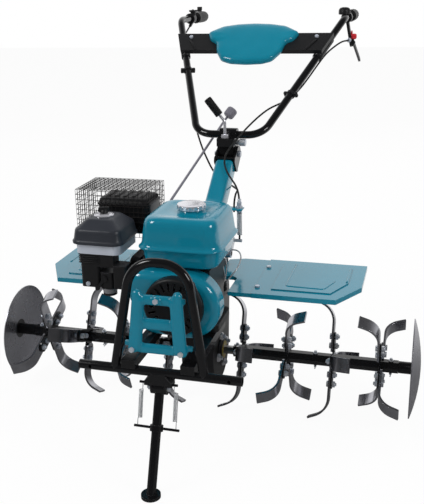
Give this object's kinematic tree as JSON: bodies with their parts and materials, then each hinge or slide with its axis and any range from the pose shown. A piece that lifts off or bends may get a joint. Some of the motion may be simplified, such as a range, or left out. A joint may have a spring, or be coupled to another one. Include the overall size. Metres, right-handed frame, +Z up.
{
  "type": "garden tiller",
  "caption": "Petrol garden tiller: engine on a tube frame, gear case, bent tines on hex hubs with end discs, fenders, front stand, steep column and U handlebar with levers.",
  "frame": {"origin": "on the ground under the middle of the overall box", "axes": "+X to the viewer's right when the machine is seen from its front, along the tine axle; +Y towards the rear, where the person walks; +Z up"},
  "size_m": [1.312, 1.738, 1.1784],
  "materials": {
    "teal_paint": "gloss",
    "teal_plastic": "gloss",
    "black_paint": "gloss",
    "tine_steel": "satin",
    "disc_steel": "satin",
    "zinc_steel": "zinc plated",
    "spring_steel": "bright",
    "gear_steel": "ground",
    "case_metal": "painted black",
    "engine_metal": "cast, painted black",
    "fan_metal": "cast",
    "chrome_trim": "polished",
    "dark_plastic": "satin",
    "black_plastic": "matte",
    "pale_plastic": "satin",
    "black_rubber": "matte",
    "red_plastic": "gloss",
    "grey_rod": "satin",
    "filter_foam": "porous",
    "seal_brass": "passivated",
    "heat_black": "matt heat paint"
  },
  "bodies": {
    "machine": {"gearcase_left": "case_metal", "gearcase_right": "case_metal", "bearings": "gear_steel", "shaft_seals": "seal_brass", "engine_frame": "black_paint", "front_crossbar": "black_paint", "bumper_hoop": "black_paint", "front_guard": "teal_paint", "stand_bracket": "black_paint", "stand_springs": "spring_steel", "crankcase": "engine_metal", "cylinder_head": "engine_metal", "clutch_housing": "engine_metal", "fan_shroud": "teal_paint", "recoil_cover": "black_plastic", "fuel_tank": "teal_paint", "carburettor": "fan_metal", "air_cleaner_base": "black_plastic", "air_cleaner_band": "pale_plastic", "air_filter": "filter_foam", "air_cleaner_cover": "dark_plastic", "muffler": "heat_black", "muffler_guard": "heat_black", "inner_fenders": "teal_paint", "outer_fenders": "teal_paint", "hitch_bracket": "black_paint", "handle_column": "teal_paint", "handle_bracket": "black_paint", "clutch_cable": "black_rubber", "throttle_cable": "black_rubber", "frame_bolts": "zinc_steel"},
    "tine_rotor": {"tine_blades": "tine_steel", "tine_bolts": "zinc_steel", "tine_hubs": "black_paint", "side_discs": "disc_steel", "hub_pins": "zinc_steel", "output_shaft": "gear_steel"},
    "idler": {"idler_gear": "gear_steel"},
    "lay": {"lay_shaft": "gear_steel"},
    "input": {"clutch_shaft": "gear_steel"},
    "crank": {"crankshaft": "gear_steel", "flywheel_fan": "fan_metal", "clutch_drum": "gear_steel"},
    "stand": {"stand_leg": "black_paint"},
    "starter": {"starter_handle": "black_plastic"},
    "choke": {"choke_lever": "black_plastic"},
    "cap": {"fuel_cap": "chrome_trim"},
    "handle": {"handle_clamp": "black_paint", "handlebar": "black_paint", "console_panel": "black_plastic", "console_cover": "teal_plastic", "grips": "black_rubber", "lever_clamps": "black_plastic", "handle_bolts": "zinc_steel"},
    "lock": {"lock_lever": "chrome_trim"},
    "clutch_grip": {"clutch_lever": "black_plastic"},
    "latch": {"clutch_latch": "red_plastic"},
    "throttle": {"throttle_lever": "black_plastic"},
    "shift": {"shift_lever": "grey_rod"},
    "arm": {"clutch_arm": "zinc_steel"}
  },
  "joints": [
    {"name": "tine_spin", "type": "hinge", "parent": "machine", "child": "tine_rotor", "pos_m": [0, -0.295, 0.17433], "axis": [1, 0, 0], "continuous": true},
    {"name": "idler_spin", "type": "hinge", "parent": "machine", "child": "idler", "pos_m": [0, -0.26919, 0.32555], "axis": [1, 0, 0], "continuous": true},
    {"name": "lay_spin", "type": "hinge", "parent": "machine", "child": "lay", "pos_m": [0, -0.25, 0.438], "axis": [1, 0, 0], "continuous": true},
    {"name": "input_spin", "type": "hinge", "parent": "machine", "child": "input", "pos_m": [0, -0.25, 0.438], "axis": [0, 1, 0], "continuous": true},
    {"name": "crank_spin", "type": "hinge", "parent": "machine", "child": "crank", "pos_m": [0, -0.461, 0.438], "axis": [0, 1, 0], "continuous": true},
    {"name": "stand_fold", "type": "hinge", "parent": "machine", "child": "stand", "pos_m": [0, -0.739, 0.264], "axis": [1, 0, 0], "range_deg": [0, 95], "stiffness_Nm_per_rad": 6, "springref_deg": -34.38, "deforming": ["stand_springs"]},
    {"name": "starter_pull", "type": "slide", "parent": "machine", "child": "starter", "axis": [0.9404, 0, 0.3401], "range_m": [0, 0.45], "stiffness_N_per_m": 12, "springref_m": -0.3},
    {"name": "choke_turn", "type": "hinge", "parent": "machine", "child": "choke", "pos_m": [-0.222, -0.5474, 0.48], "axis": [0, 1, 0], "range_deg": [0, 50]},
    {"name": "cap_turn", "type": "hinge", "parent": "machine", "child": "cap", "pos_m": [0.012, -0.451, 0.668], "axis": [0, 0, 1], "range_deg": [0, 90]},
    {"name": "handle_pitch", "type": "hinge", "parent": "machine", "child": "handle", "pos_m": [0, 0.02566, 0.73044], "axis": [1, 0, 0], "range_deg": [-12, 16], "deforming": ["clutch_cable", "throttle_cable"]},
    {"name": "lock_turn", "type": "hinge", "parent": "handle", "child": "lock", "pos_m": [-0.004, -0.005, 0.788], "axis": [0, 0, 1], "range_deg": [-60, 60]},
    {"name": "clutch_squeeze", "type": "hinge", "parent": "handle", "child": "clutch_grip", "pos_m": [0.32894, 0.61, 1.04273], "axis": [0.9816, 0, 0.1908], "range_deg": [0, 24], "stiffness_Nm_per_rad": 4, "springref_deg": -14.32},
    {"name": "latch_turn", "type": "hinge", "parent": "handle", "child": "latch", "pos_m": [0.32436, 0.61, 1.06629], "axis": [0.9816, 0, 0.1908], "range_deg": [0, 25], "stiffness_Nm_per_rad": 0.3, "springref_deg": -14.32},
    {"name": "throttle_turn", "type": "hinge", "parent": "handle", "child": "throttle", "pos_m": [-0.302, 0.667, 1.155], "axis": [0, 0, 1], "range_deg": [0, 60]},
    {"name": "shift_move", "type": "hinge", "parent": "machine", "child": "shift", "pos_m": [-0.05, -0.261, 0.492], "axis": [1, 0, 0], "range_deg": [-4, 1.5]},
    {"name": "arm_turn", "type": "hinge", "parent": "machine", "child": "arm", "pos_m": [0.05, -0.225, 0.47], "axis": [1, 0, 0], "range_deg": [0, 12]}
  ],
  "couplings": [
    {"joint": "idler_spin", "follows": "tine_spin", "ratio": -1.1667},
    {"joint": "lay_spin", "follows": "tine_spin", "ratio": 1.9091},
    {"joint": "input_spin", "follows": "tine_spin", "ratio": 3.8182},
    {"joint": "arm_turn", "follows": "clutch_squeeze", "ratio": 0.35}
  ]
}
